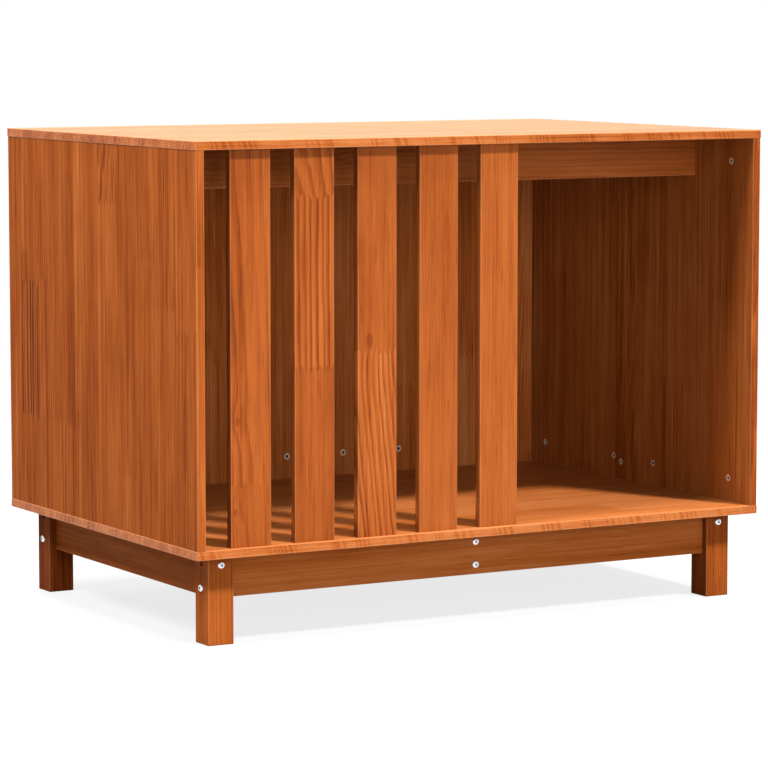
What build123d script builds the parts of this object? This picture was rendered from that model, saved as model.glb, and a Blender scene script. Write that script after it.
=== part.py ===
from build123d import *
from typing import NamedTuple
import os

# A dog house of stained pine: a cabinet of solid boards on a leg frame.
# Its front has a row of upright slats on the left and the open entrance on the right.
# Millimetres. +X runs to the right along the front, +Y to the back and +Z up.
# The origin is on the ground, under the middle of the body.

# Overall size
body_width = 900.0
body_depth = 600.0
overall_height = 670.0

# Boards and panels of the cabinet
top_thickness = 12.0
floor_thickness = 12.0
side_thickness = 12.0
back_thickness = 12.0
side_inset = 1.0
board_edge_radius = 0.8
panel_edge_radius = 0.8

# Slats of the front, counted from the left side panel
slat_count = 5
slat_width = 60.0
slat_thickness = 12.0
slat_gap = 36.0
first_slat_gap = 41.5
slat_setback = 8.0
slat_edge_radius = 1.0

# Rail under the top board, set back from the front edge
rail_setback = 144.0
rail_height = 58.0
rail_thickness = 16.0
rail_edge_radius = 1.0

# Leg frame
leg_height = 120.0
leg_side = 38.0
leg_inset_x = 30.0
leg_inset_y = 28.0
leg_edge_radius = 1.2
apron_height = 58.0
apron_thickness = 16.0
bearer_thickness = 16.0
apron_edge_radius = 1.0

# Bolts of the leg frame, with domed heads and hexagon sockets
bolt_diameter = 6.0
bolt_head_diameter = 10.5
bolt_head_height = 3.3
bolt_head_dome = 2.0
bolt_socket_size = 4.0
bolt_socket_depth = 1.8
bolt_end_chamfer = 0.8
bolt_clearance = 0.25
bolt_end_space = 3.0
bolt_past_nut = 2.0
upper_bolt_drop = 12.0
lower_bolt_rise = 14.0
spare_hole_depth = 10.0

# Barrel nuts that the bolts draw up to
nut_diameter = 10.0
nut_distance = 25.0
nut_cover = 1.5
nut_slot_width = 1.2
nut_slot_depth = 1.0
nut_clearance = 0.1

# Cam locks let into the inner faces of the side and back panels
cam_diameter = 10.0
cam_distance = 34.0
cam_skin = 3.0
cam_recess_width = 1.4
cam_recess_length = 6.0
cam_recess_depth = 1.5
cam_clearance = 0.15
side_cam_margin = 54.0
side_cam_inner_spacing = 106.0
back_cam_count = 9
back_cam_margin = 47.0
low_cam_step = 20.0
low_cam_distance = 26.5

# Bolts of the cam locks, which stand in the top and bottom boards
cam_bolt_thread_diameter = 6.0
cam_bolt_shank_diameter = 5.0
cam_bolt_neck_diameter = 3.0
cam_bolt_neck_length = 4.0
cam_bolt_head_length = 2.5
cam_bolt_clearance = 0.2

# Blind holes in the boards: the wood left past them, and the free space at their ends
blind_hole_skin = 2.5
end_space = 0.5

# Wooden dowels, with the short part in the thinner piece
dowel_diameter = 6.0
dowel_length = 30.0
dowel_chamfer = 0.7
dowel_clearance = 0.1
frame_dowel_depth = 9.0
side_dowel_margin = 105.0
back_dowel_gaps = (0, 2)
slat_dowel_margin = 14.0
rail_dowel_margin = 13.0

# Screws that hold the bottom board down on the leg frame, sunk in from below
screw_diameter = 4.0
screw_length = 50.0
screw_head_diameter = 8.0
screw_head_height = 2.6
screw_recess_width = 1.2
screw_recess_length = 4.6
screw_recess_depth = 1.6
screw_tip_length = 4.0
screw_tip_diameter = 1.0
screw_clearance = 0.15
screw_pocket_clearance = 0.75
long_apron_screw_margin = 162.0
short_apron_screw_margin = 114.0

# How far a cutter starts outside the face it enters
cut_lead = 1.0

# Levels and faces that the sizes above give
floor_underside = leg_height
floor_top = floor_underside + floor_thickness
ceiling = overall_height - top_thickness
front = -body_depth / 2
back = body_depth / 2
side_outer = body_width / 2 - side_inset
side_inner = side_outer - side_thickness
side_middle = side_outer - side_thickness / 2
back_inner = back - back_thickness
back_middle = back - back_thickness / 2
slat_front = front + slat_setback
slat_middle = slat_front + slat_thickness / 2
rail_front = front + rail_setback
rail_middle = rail_front + rail_thickness / 2
rail_underside = ceiling - rail_height
leg_x = body_width / 2 - leg_inset_x - leg_side / 2
leg_y = body_depth / 2 - leg_inset_y - leg_side / 2
leg_inner_x = leg_x - leg_side / 2
leg_inner_y = leg_y - leg_side / 2
apron_underside = floor_underside - apron_height
bearer_end = leg_y - apron_thickness / 2
upper_bolt_z = floor_underside - upper_bolt_drop
lower_bolt_z = apron_underside + lower_bolt_rise

LEFT, RIGHT = -1, 1
FRONT, BACK = -1, 1
DOWN, UP = -1, 1


class BoardFace(NamedTuple):
    """The face of a board that uprights stand on, and the way that they leave it."""

    level: float
    way: int
    hole_depth: float


class CamJoint(NamedTuple):
    """Where a cam's bolt stands on a board, and how far from the board its cam is."""

    x: float
    y: float
    face: BoardFace
    distance: float


class DowelJoint(NamedTuple):
    """A dowel with the short and the long hole that hold it."""

    peg: Solid
    short_hole: Solid
    long_hole: Solid


class BoltedJoint(NamedTuple):
    """A bolt and its barrel nut, with the cuts in the outer piece and in the end it holds."""

    bolt: Part
    nut: Part
    through_hole: Solid
    end_cuts: list


def blind_depth(thickness):
    """How deep a blind hole goes into a board, less the free space at its end."""
    return thickness - blind_hole_skin - end_space


def middle_span(middle, size):
    """Low and high of a span about its middle."""
    return (middle - size / 2, middle + size / 2)


def block(x, y, z):
    """A block that fills the spans x, y and z, each given as low and high."""
    size = [high - low for low, high in (x, y, z)]
    middle = [(high + low) / 2 for low, high in (x, y, z)]
    return Pos(*middle) * Box(*size)


def rod(start, direction, diameter, length):
    """A round rod that leaves a point in a direction."""
    bar = Cylinder(diameter / 2, length, align=(Align.CENTER, Align.CENTER, Align.MIN))
    return Plane(origin=start, z_dir=direction) * bar


def hole(start, direction, diameter, depth):
    """A cutter for a round hole into a face."""
    outside = Vector(*start) - Vector(*direction) * cut_lead
    return rod(outside, direction, diameter, depth + cut_lead)


def cross_recess(length, width, low, high):
    """A cutter for the cross that a screwdriver turns."""
    along = middle_span(0, length)
    across = middle_span(0, width)
    return block(along, across, (low, high)) + block(across, along, (low, high))


# Fasteners, each made about its own seat and then put in its place


def domed_bolt(length):
    """A bolt with its head above the seat and its shank downwards from it."""
    head = rod((0, 0, 0), (0, 0, UP), bolt_head_diameter, bolt_head_height)
    head = fillet(head.edges().sort_by(Axis.Z)[-1:], bolt_head_dome)
    shank = rod((0, 0, 0), (0, 0, DOWN), bolt_diameter, length)
    shank = chamfer(shank.edges().sort_by(Axis.Z)[:1], bolt_end_chamfer)
    hexagon = RegularPolygon(bolt_socket_size / 2, 6, major_radius=False)
    socket = Pos(0, 0, bolt_head_height) * extrude(hexagon, -bolt_socket_depth)
    return head + shank - socket


def barrel_nut(length):
    """A round nut along Z, bored along X, with a slot in its upper end to turn it by."""
    nut = Cylinder(nut_diameter / 2, length)
    bore = Rot(0, 90, 0) * Cylinder(bolt_diameter / 2 + nut_clearance, nut_diameter)
    slot_level = (length / 2 - nut_slot_depth, length / 2)
    slot = block(middle_span(0, nut_diameter), middle_span(0, nut_slot_width), slot_level)
    return nut - bore - slot


def cam_lock(panel_thickness):
    """A cam below its face, with its bolt's bore open along +X."""
    body = rod((0, 0, 0), (0, 0, DOWN), cam_diameter, panel_thickness - cam_skin)
    recess = cross_recess(cam_recess_length, cam_recess_width, -cam_recess_depth, 0)
    bore_start = (-cam_bolt_head_length / 2 - end_space, 0, -panel_thickness / 2)
    bore_diameter = cam_bolt_shank_diameter + 2 * cam_bolt_clearance
    bore = rod(bore_start, (1, 0, 0), bore_diameter, cam_diameter)
    return body - recess - bore


def cam_bolt(joint):
    """The bolt of a cam joint, with its thread in the board and its head in the cam."""
    head_end = joint.distance + cam_bolt_head_length / 2
    head_start = head_end - cam_bolt_head_length
    neck_start = head_start - cam_bolt_neck_length
    thread = (-joint.face.hole_depth, 0, cam_bolt_thread_diameter)
    shank = (0, neck_start, cam_bolt_shank_diameter)
    neck = (neck_start, head_start, cam_bolt_neck_diameter)
    head = (head_start, head_end, cam_bolt_shank_diameter)
    stretches = [
        rod((0, 0, low), (0, 0, UP), diameter, high - low)
        for low, high, diameter in (thread, shank, neck, head)
    ]
    bolt = stretches[0] + stretches[1:]
    foot = (joint.x, joint.y, joint.face.level)
    return Plane(origin=foot, z_dir=(0, 0, joint.face.way)) * bolt


def board_screw():
    """A wood screw with its head below the seat and its tip upwards."""
    head = rod((0, 0, 0), (0, 0, DOWN), screw_head_diameter, screw_head_height)
    straight = screw_length - screw_tip_length
    shank = rod((0, 0, 0), (0, 0, UP), screw_diameter, straight)
    tip = Pos(0, 0, straight + screw_tip_length / 2) * Cone(
        screw_diameter / 2, screw_tip_diameter / 2, screw_tip_length
    )
    recess_top = screw_recess_depth - screw_head_height
    recess = cross_recess(screw_recess_length, screw_recess_width, -screw_head_height, recess_top)
    return head + shank + tip - recess


def dowel_joint(point, direction, short_part):
    """A dowel across a seam at a point, with its long part in the given direction."""
    way = Vector(*direction)
    peg = rod(Vector(*point) - way * short_part, way, dowel_diameter, dowel_length)
    rims = peg.edges().filter_by(GeomType.CIRCLE)
    peg = chamfer(rims, dowel_chamfer)
    bore = dowel_diameter + 2 * dowel_clearance
    long_part = dowel_length - short_part
    short_hole = hole(point, -way, bore, short_part + end_space)
    long_hole = hole(point, way, bore, long_part + end_space)
    return DowelJoint(peg, short_hole, long_hole)


def bolt_hole(start, direction, depth):
    """A cutter for a clearance hole of a bolt."""
    return hole(start, direction, bolt_diameter + 2 * bolt_clearance, depth)


def bolted_joint(seat, direction, outer_thickness, pocket_direction, end_thickness):
    """A bolt through an outer piece and into the end of another, up to its barrel nut.

    The nut is dropped into a pocket in the direction across the piece that has the end.
    """
    way = Vector(*direction)
    pocket_way = Vector(*pocket_direction)
    seam = Vector(*seat) + way * outer_thickness
    nut_middle = seam + way * nut_distance
    mouth = nut_middle - pocket_way * (end_thickness / 2)
    reach = nut_distance + nut_diameter / 2 + bolt_past_nut
    nut_length = end_thickness - 2 * nut_cover

    bolt = Plane(origin=seat, z_dir=-way) * domed_bolt(outer_thickness + reach)
    nut = Plane(origin=nut_middle, x_dir=way, z_dir=-pocket_way) * barrel_nut(nut_length)
    through_hole = bolt_hole(seat, way, outer_thickness + cut_lead)
    pocket_bore = nut_diameter + 2 * nut_clearance
    pocket = hole(mouth, pocket_way, pocket_bore, end_thickness - nut_cover)
    end_hole = bolt_hole(seam, way, reach + bolt_end_space)
    return BoltedJoint(bolt, nut, through_hole, [pocket, end_hole])


# Cam joints of the side and back panels, on the bottom board and under the top board

floor_face = BoardFace(floor_top, UP, blind_depth(floor_thickness))
ceiling_face = BoardFace(ceiling, DOWN, blind_depth(top_thickness))
board_faces = (floor_face, ceiling_face)

inner_cam_y = side_cam_inner_spacing / 2
side_cam_y = (front + side_cam_margin, -inner_cam_y, inner_cam_y, back - side_cam_margin)
outer_cam_x = side_inner - back_cam_margin
back_cam_pitch = 2 * outer_cam_x / (back_cam_count - 1)
back_cam_x = [-outer_cam_x + number * back_cam_pitch for number in range(back_cam_count)]


def cam_joints(places):
    """The joints at some places along a panel, at its foot and at its head."""
    return [CamJoint(x, y, face, cam_distance) for face in board_faces for x, y in places]


left_joints = cam_joints([(-side_middle, y) for y in side_cam_y])
right_joints = cam_joints([(side_middle, y) for y in side_cam_y])
low_cam_y = inner_cam_y - low_cam_step
right_joints.append(CamJoint(side_middle, low_cam_y, floor_face, low_cam_distance))
back_joints = cam_joints([(x, back_middle) for x in back_cam_x])


def fit_cams(panel, joints, outward, thickness):
    """Cut a panel for its cams, and make the cams and their bolts."""
    to_face = Vector(*outward)
    shape = cam_lock(thickness)
    cuts = []
    cams = []
    for joint in joints:
        away = Vector(0, 0, joint.face.way)
        foot = Vector(joint.x, joint.y, joint.face.level)
        mouth = foot + away * joint.distance + to_face * (thickness / 2)
        pocket_diameter = cam_diameter + 2 * cam_clearance
        bore_diameter = cam_bolt_shank_diameter + 2 * cam_bolt_clearance
        cuts.append(hole(mouth, -to_face, pocket_diameter, thickness - cam_skin))
        cuts.append(hole(foot, away, bore_diameter, joint.distance))
        cams.append(Plane(origin=mouth, x_dir=-away, z_dir=to_face) * shape)
    return panel - cuts, cams, [cam_bolt(joint) for joint in joints]


def thread_holes(face):
    """Cutters for the threads of the cam bolts in one board."""
    diameter = cam_bolt_thread_diameter + 2 * cam_bolt_clearance
    return [
        hole((joint.x, joint.y, face.level), (0, 0, -face.way), diameter, face.hole_depth + end_space)
        for joint in left_joints + right_joints + back_joints
        if joint.face is face
    ]


# Dowels of the cabinet

slat_lefts = [
    -side_inner + first_slat_gap + number * (slat_width + slat_gap) for number in range(slat_count)
]
side_dowel_y = body_depth / 2 - side_dowel_margin
back_dowel_x = [outer_cam_x - (gap + 0.5) * back_cam_pitch for gap in back_dowel_gaps]
slat_dowel_step = slat_width / 2 - slat_dowel_margin


def upright_dowels(places, face):
    """Dowels between a board and the uprights at some places."""
    return [dowel_joint((x, y, face.level), (0, 0, face.way), face.hole_depth) for x, y in places]


def both_ends(places):
    """Dowels at the feet and at the heads of the uprights at some places."""
    return [upright_dowels(places, face) for face in board_faces]


side_dowels = both_ends(
    [(side * side_middle, end * side_dowel_y) for side in (LEFT, RIGHT) for end in (FRONT, BACK)]
)
back_dowels = both_ends([(side * x, back_middle) for x in back_dowel_x for side in (LEFT, RIGHT)])
slat_dowels = [
    both_ends(
        [(left + slat_width / 2 + side * slat_dowel_step, slat_middle) for side in (LEFT, RIGHT)]
    )
    for left in slat_lefts
]
rail_dowels = [
    dowel_joint((side * side_inner, rail_middle, z), (-side, 0, 0), blind_depth(side_thickness))
    for side in (LEFT, RIGHT)
    for z in (rail_underside + rail_dowel_margin, ceiling - rail_dowel_margin)
]

parts = {}

# Top and bottom boards, with the screws that come up into the bottom one

full_width = (-body_width / 2, body_width / 2)
full_depth = (front, back)
floor_dowels, ceiling_dowels = [
    side + back + [dowel for slat in slat_dowels for dowel in slat[end]]
    for end, (side, back) in enumerate(zip(side_dowels, back_dowels))
]

top_board = block(full_width, full_depth, (ceiling, overall_height))
top_board = fillet(top_board.edges(), board_edge_radius)
top_board -= [dowel.short_hole for dowel in ceiling_dowels] + thread_holes(ceiling_face)

screw_depth = blind_depth(floor_thickness)
screw_seat = floor_underside + screw_depth - screw_length
long_screw_x = leg_inner_x - long_apron_screw_margin
short_screw_y = leg_inner_y - short_apron_screw_margin
screw_places = {
    "front": [(LEFT * long_screw_x, -leg_y), (RIGHT * long_screw_x, -leg_y)],
    "back": [(LEFT * long_screw_x, leg_y), (RIGHT * long_screw_x, leg_y)],
    "left": [(-leg_x, FRONT * short_screw_y), (-leg_x, BACK * short_screw_y)],
    "right": [(leg_x, FRONT * short_screw_y), (leg_x, BACK * short_screw_y)],
    "bearer": [(0, FRONT * short_screw_y), (0, BACK * short_screw_y)],
}
all_screw_places = [place for places in screw_places.values() for place in places]
screw_bore = screw_diameter + 2 * screw_clearance
screw_pocket = screw_head_diameter + 2 * screw_pocket_clearance

bottom_board = block(full_width, full_depth, (floor_underside, floor_top))
bottom_board = fillet(bottom_board.edges(), board_edge_radius)
bottom_board -= [dowel.short_hole for dowel in floor_dowels] + thread_holes(floor_face)
bottom_board -= [
    hole((x, y, floor_underside), (0, 0, UP), screw_bore, screw_depth + end_space)
    for x, y in all_screw_places
]

parts["top_board"] = top_board
parts["bottom_board"] = bottom_board

# Side panels and back panel

upright_height = (floor_top, ceiling)
all_side_dowels = side_dowels[0] + side_dowels[1]
all_back_dowels = back_dowels[0] + back_dowels[1]
for name, side, joints in (("left", LEFT, left_joints), ("right", RIGHT, right_joints)):
    panel = block(middle_span(side * side_middle, side_thickness), full_depth, upright_height)
    panel = fillet(panel.edges().filter_by(Axis.Z), panel_edge_radius)
    panel, cams, cam_bolts = fit_cams(panel, joints, (-side, 0, 0), side_thickness)
    panel -= [dowel.long_hole for dowel in all_side_dowels]
    panel -= [dowel.short_hole for dowel in rail_dowels]
    parts[f"{name}_side_panel"] = panel
    parts[f"{name}_panel_cam_locks"] = cams
    parts[f"{name}_panel_cam_bolts"] = cam_bolts

back_panel = block((-side_inner, side_inner), (back_inner, back), upright_height)
back_panel, cams, cam_bolts = fit_cams(back_panel, back_joints, (0, FRONT, 0), back_thickness)
parts["back_panel"] = back_panel - [dowel.long_hole for dowel in all_back_dowels]
parts["back_panel_cam_locks"] = cams
parts["back_panel_cam_bolts"] = cam_bolts

# Slats of the front

slat_depth = (slat_front, slat_front + slat_thickness)
for number, (left, (feet, heads)) in enumerate(zip(slat_lefts, slat_dowels), start=1):
    slat = block((left, left + slat_width), slat_depth, upright_height)
    slat = fillet(slat.edges().filter_by(Axis.Z), slat_edge_radius)
    parts[f"slat_{number}"] = slat - [dowel.long_hole for dowel in feet + heads]

# Rail under the top board

rail_depth = (rail_front, rail_front + rail_thickness)
rail = block((-side_inner, side_inner), rail_depth, (rail_underside, ceiling))
rail = fillet(rail.edges().filter_by(Axis.X), rail_edge_radius)
parts["ceiling_rail"] = rail - [dowel.long_hole for dowel in rail_dowels]

# Legs. At each one a bolt runs sideways into a long apron, low down,
# and a bolt runs from front to back into a short apron, higher up.
# Each of these joints has a dowel at the other bolt's level.

corner_joints = []
frame_dowels = []
apron_cuts = {"front": [], "back": [], "left": [], "right": []}
for x_name, x_side in (("left", LEFT), ("right", RIGHT)):
    for y_name, y_side in (("front", FRONT), ("back", BACK)):
        x = x_side * leg_x
        y = y_side * leg_y
        x_outer = x + x_side * leg_side / 2
        y_outer = y + y_side * leg_side / 2
        sideways = (-x_side, 0, 0)
        lengthways = (0, -y_side, 0)

        long_joint = bolted_joint(
            (x_outer, y, lower_bolt_z), sideways, leg_side, (0, y_side, 0), apron_thickness
        )
        short_joint = bolted_joint(
            (x, y_outer, upper_bolt_z), lengthways, leg_side, (x_side, 0, 0), apron_thickness
        )
        long_seam = (x_side * leg_inner_x, y, upper_bolt_z)
        short_seam = (x, y_side * leg_inner_y, lower_bolt_z)
        long_dowel = dowel_joint(long_seam, sideways, frame_dowel_depth)
        short_dowel = dowel_joint(short_seam, lengthways, frame_dowel_depth)
        corner_joints += [long_joint, short_joint]
        frame_dowels += [long_dowel, short_dowel]
        apron_cuts[y_name] += long_joint.end_cuts + [long_dowel.long_hole]
        apron_cuts[x_name] += short_joint.end_cuts + [short_dowel.long_hole]

        leg = block(middle_span(x, leg_side), middle_span(y, leg_side), (0, leg_height))
        foot_edges = leg.edges().group_by(Axis.Z)[0]
        leg = fillet(leg.edges().filter_by(Axis.Z) + foot_edges, leg_edge_radius)
        parts[f"leg_{y_name}_{x_name}"] = leg - [
            long_joint.through_hole,
            short_joint.through_hole,
            long_dowel.short_hole,
            short_dowel.short_hole,
            bolt_hole((x_outer, y, upper_bolt_z), sideways, spare_hole_depth),
        ]

# Joints of the centre bearer, two at each end

bearer_joints = []
for y_name, y_side in (("front", FRONT), ("back", BACK)):
    for z in (upper_bolt_z, lower_bolt_z):
        seat = (0, y_side * (leg_y + apron_thickness / 2), z)
        joint = bolted_joint(
            seat, (0, -y_side, 0), apron_thickness, (LEFT, 0, 0), bearer_thickness
        )
        apron_cuts[y_name].append(joint.through_hole)
        bearer_joints.append(joint)

# Aprons and centre bearer


def frame_bar(x, y, long_axis, cuts, screws):
    """A bar of the leg frame, cut for its joints and for the screws at some places."""
    bar = block(x, y, (apron_underside, floor_underside))
    bar = fillet(bar.edges().filter_by(long_axis), apron_edge_radius)
    pocket_depth = screw_seat - apron_underside
    screw_cuts = []
    for place in screws:
        start = (*place, apron_underside)
        screw_cuts.append(hole(start, (0, 0, UP), screw_pocket, pocket_depth))
        screw_cuts.append(hole(start, (0, 0, UP), screw_bore, apron_height + cut_lead))
    return bar - (cuts + screw_cuts)


long_apron_x = (-leg_inner_x, leg_inner_x)
short_apron_y = (-leg_inner_y, leg_inner_y)
for name, side in (("front", FRONT), ("back", BACK)):
    y_span = middle_span(side * leg_y, apron_thickness)
    parts[f"{name}_apron"] = frame_bar(
        long_apron_x, y_span, Axis.X, apron_cuts[name], screw_places[name]
    )
for name, side in (("left", LEFT), ("right", RIGHT)):
    x_span = middle_span(side * leg_x, apron_thickness)
    parts[f"{name}_apron"] = frame_bar(
        x_span, short_apron_y, Axis.Y, apron_cuts[name], screw_places[name]
    )
parts["centre_bearer"] = frame_bar(
    middle_span(0, bearer_thickness),
    (-bearer_end, bearer_end),
    Axis.Y,
    [cut for joint in bearer_joints for cut in joint.end_cuts],
    screw_places["bearer"],
)

# Groups of like fasteners

screw = board_screw()
parts["side_panel_dowels"] = [dowel.peg for dowel in all_side_dowels]
parts["back_panel_dowels"] = [dowel.peg for dowel in all_back_dowels]
parts["slat_dowels"] = [dowel.peg for slat in slat_dowels for end in slat for dowel in end]
parts["rail_dowels"] = [dowel.peg for dowel in rail_dowels]
parts["frame_dowels"] = [dowel.peg for dowel in frame_dowels]
parts["leg_bolts"] = [joint.bolt for joint in corner_joints]
parts["bearer_bolts"] = [joint.bolt for joint in bearer_joints]
parts["apron_barrel_nuts"] = [joint.nut for joint in corner_joints]
parts["bearer_barrel_nuts"] = [joint.nut for joint in bearer_joints]
parts["frame_screws"] = [Pos(x, y, screw_seat) * screw for x, y in all_screw_places]

os.makedirs("parts", exist_ok=True)
for name, shape in parts.items():
    pieces = shape if isinstance(shape, list) else [shape]
    solids = [solid for piece in pieces for solid in piece.solids()]
    body = Compound(children=solids) if len(solids) > 1 else solids[0]
    body.label = name
    export_step(body, f"parts/{name}.step")
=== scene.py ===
import math
from collections import namedtuple
from functools import reduce

import bpy
import numpy as np
from bpy.props import FloatProperty, FloatVectorProperty, PointerProperty
from mathutils import Euler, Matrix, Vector


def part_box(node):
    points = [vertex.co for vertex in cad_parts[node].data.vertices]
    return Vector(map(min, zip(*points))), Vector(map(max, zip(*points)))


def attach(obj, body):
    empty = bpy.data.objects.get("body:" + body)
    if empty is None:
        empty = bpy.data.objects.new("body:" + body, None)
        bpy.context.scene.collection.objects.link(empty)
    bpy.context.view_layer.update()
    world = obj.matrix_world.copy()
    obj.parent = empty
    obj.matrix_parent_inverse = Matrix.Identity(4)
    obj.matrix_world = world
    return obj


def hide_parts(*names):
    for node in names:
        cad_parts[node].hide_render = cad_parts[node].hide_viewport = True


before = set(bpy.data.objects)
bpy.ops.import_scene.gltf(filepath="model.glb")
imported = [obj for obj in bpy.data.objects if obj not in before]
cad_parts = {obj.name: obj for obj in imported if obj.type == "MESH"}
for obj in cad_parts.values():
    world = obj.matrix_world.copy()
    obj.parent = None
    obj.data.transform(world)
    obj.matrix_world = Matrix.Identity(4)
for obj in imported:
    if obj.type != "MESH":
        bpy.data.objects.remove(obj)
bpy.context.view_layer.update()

bl_info = {
    "name": "Slatted dog house",
    "version": (1, 0, 0),
    "blender": (4, 5, 0),
    "location": "View3D > Sidebar > Dog house",
    "description": "Stained pine, steel fittings and a plain studio for a slatted dog house",
    "category": "Object",
}

MM = 0.001
BLACK = (0.0, 0.0, 0.0, 1.0)
WHITE = (1.0, 1.0, 1.0, 1.0)

# The names of the pieces, by what they are made of

BOARDS = ("top_board", "bottom_board")
SIDE_PANELS = ("left_side_panel", "right_side_panel")
BACK_PANEL = "back_panel"
RAIL = "ceiling_rail"
LEGS = ("leg_front_left", "leg_front_right", "leg_back_left", "leg_back_right")
LONG_APRONS = ("front_apron", "back_apron")
SHORT_APRONS = ("left_apron", "right_apron", "centre_bearer")
DOWELS = ("side_panel_dowels", "back_panel_dowels", "slat_dowels", "rail_dowels", "frame_dowels")
DOMED_BOLTS = ("leg_bolts", "bearer_bolts")
CAM_LOCKS = ("left_panel_cam_locks", "right_panel_cam_locks", "back_panel_cam_locks")
CAM_BOLTS = ("left_panel_cam_bolts", "right_panel_cam_bolts", "back_panel_cam_bolts")
BARREL_NUTS = ("apron_barrel_nuts", "bearer_barrel_nuts")
SCREWS = "frame_screws"

# How a piece's own directions lie in the frame: the axis that its grain follows,
# the one across its face, and the one through its thickness

Lie = namedtuple("Lie", "along across depth")
BOARD_LIE = Lie("X", "Y", "Z")
SIDE_LIE = Lie("Z", "Y", "X")
UPRIGHT_LIE = Lie("Z", "X", "Y")
RAIL_LIE = Lie("X", "Z", "Y")
SHORT_LIE = Lie("Y", "Z", "X")

# One length of pine between two finger joints. All in millimetres, but for the slopes
# (lean), the strength of the rings and the tone, which is darker as it rises

Block = namedtuple(
    "Block", "pith_across pith_depth lean_across lean_depth spacing contrast tone"
)
Knot = namedtuple("Knot", "along across radius")
Piece = namedtuple("Piece", "blocks joints knots seed patches", defaults=((), (), 0.0, ()))
Patch = namedtuple("Patch", "across along block")

SLAT_PIECES = {
    "slat_1": Piece(
        (Block(-64, 60, 0.010, 0.03, 7.0, 0.20, 0.34), Block(-70, 44, 0.004, 0.05, 11.0, 0.34, 0.31)),
        (214,),
        (Knot(300, -21, 5.0), Knot(179, -24, 4.0)),
        1.3,
    ),
    "slat_2": Piece(
        (
            Block(30, 90, 0.0, 0.02, 8.0, 0.12, 0.38),
            Block(-150, 12, 0.010, 0.01, 9.4, 0.80, 0.22),
            Block(-60, 40, -0.035, 0.10, 6.4, 0.62, 0.24),
        ),
        (364, 594),
        (),
        2.7,
    ),
    "slat_3": Piece(
        (Block(165, 10, 0.100, 0.0, 8.6, 0.85, 0.17), Block(40, 75, 0.06, 0.05, 9.0, 0.12, 0.36)),
        (383,),
        (Knot(398, -12, 7.0),),
        3.1,
    ),
    "slat_4": Piece((Block(-130, 20, 0.004, 0.01, 4.6, 0.14, 0.34),), (), (), 4.9),
    "slat_5": Piece((Block(150, 26, -0.004, 0.01, 4.2, 0.16, 0.31),), (), (), 5.3),
}
RAIL_PIECE = Piece((Block(-70, 20, 0.012, 0.01, 8.0, 0.30, 0.36),), (), (Knot(-160, 8, 4.0),), 6.1)
LEG_PIECE = Piece((Block(-60, 26, 0.012, 0.02, 6.0, 0.30, 0.33),), (), (), 7.7)
APRON_PIECE = Piece((Block(70, 44, 0.006, 0.01, 12.0, 0.18, 0.37),), (), (), 8.3)

# How strong the fibres and streaks of a single stick are, where those of a glued board are one

SOLID_GRAIN = 0.42

# How much darker the wood of a piece is than that of its like. This is partly the wood's own
# tone and partly painted light and shade: pieces that stand in shade, such as the back-left leg
# under the house, are made darker, and pieces made to look more brightly lit, such as the front
# apron and the top board, are made lighter

TONE_AND_PAINTED_SHADE = {
    "top_board": -0.14,
    "bottom_board": -0.22,
    "left_side_panel": 0.11,
    "right_side_panel": -0.04,
    "back_panel": -0.08,
    "slat_1": 0.14,
    "slat_2": 0.12,
    "slat_3": 0.11,
    "slat_4": 0.07,
    "slat_5": 0.05,
    "leg_front_left": 0.05,
    "leg_front_right": 0.24,
    "leg_back_left": 0.36,
    "leg_back_right": 0.10,
    "front_apron": -0.17,
    "left_apron": 0.02,
}

# Blocks of the left side panel that stand out from its even staves

LEFT_PATCHES = (
    Patch((198, 257), (260, 452), Block(60, 12, 0.0, 0.0, 9.4, 1.55, 0.28)),
    Patch((198, 257), (100, 260), Block(300, 60, 0.01, 0.02, 9.0, 0.06, 0.40)),
    Patch((257, 301), (100, 700), Block(120, 14, 0.0, 0.0, 6.0, 0.45, 0.30)),
    Patch((145, 198), (100, 460), Block(40, 16, -0.012, 0.0, 9.5, 0.42, 0.28)),
    Patch((78, 145), (262, 700), Block(-120, 60, 0.0, 0.02, 9.0, 0.10, 0.42)),
    Patch((78, 145), (100, 262), Block(20, 14, 0.02, 0.0, 7.0, 0.42, 0.25)),
)

# The front edge of the right side panel is of a darker stave

RIGHT_PATCHES = (Patch((-301, -299.4), (100, 700), Block(0, 40, 0.01, 0.01, 3.2, 0.5, 0.62)),)

# The layers of the grain: how wide and how long their spots are, in millimetres, and how fine

Layer = namedtuple("Layer", "across along detail roughness", defaults=(0.55,))

LAYERS = {
    "bend": Layer(46, 330, 2),
    "ripple": Layer(7, 90, 1),
    "fibre": Layer(1.5, 70, 3, 0.62),
    "patch": Layer(34, 260, 1),
    "streak": Layer(3.6, 300, 3, 0.7),
    "dash": Layer(1.9, 46, 1),
    "band": Layer(9, 520, 2),
    "broad": Layer(42, 800, 1),
    "cloud": Layer(24, 130, 1),
    "line": Layer(7, 480, 1),
    "fleck": Layer(0.9, 16, 0),
}
LAYER_SHIFT = (13.1, 7.7, 3.3)

# How much each feature adds to the stain, to the roughness and to the relief

STAIN = {
    "ring": 0.62, "line": 0.10, "dash": 0.15, "cloud": 0.36, "broad": 0.40, "fleck": 0.07,
    "Seam": 0.16, "Knot": 0.18, "Marks": 0.26,
}
BAND_SHARE = 0.6
ROUGHNESS = {"fibre": 0.16, "ring": -0.07, "broad": 0.12, "rubbed": -0.06}
RELIEF = {"ring": 0.5, "fibre": 0.6, "fleck": -0.4, "Seam": -0.9}

# How far the rings leave their circles, in millimetres, and how many years their widths drift

BEND = 9.0
RIPPLE = 4.0
SWIRL = 7.0
YEAR_DRIFT = 1.6
KNOT_STRETCH = 0.62
KNOT_PULL = -0.10

# What the blocks of a glued-up board draw by lot, from low to high

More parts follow.
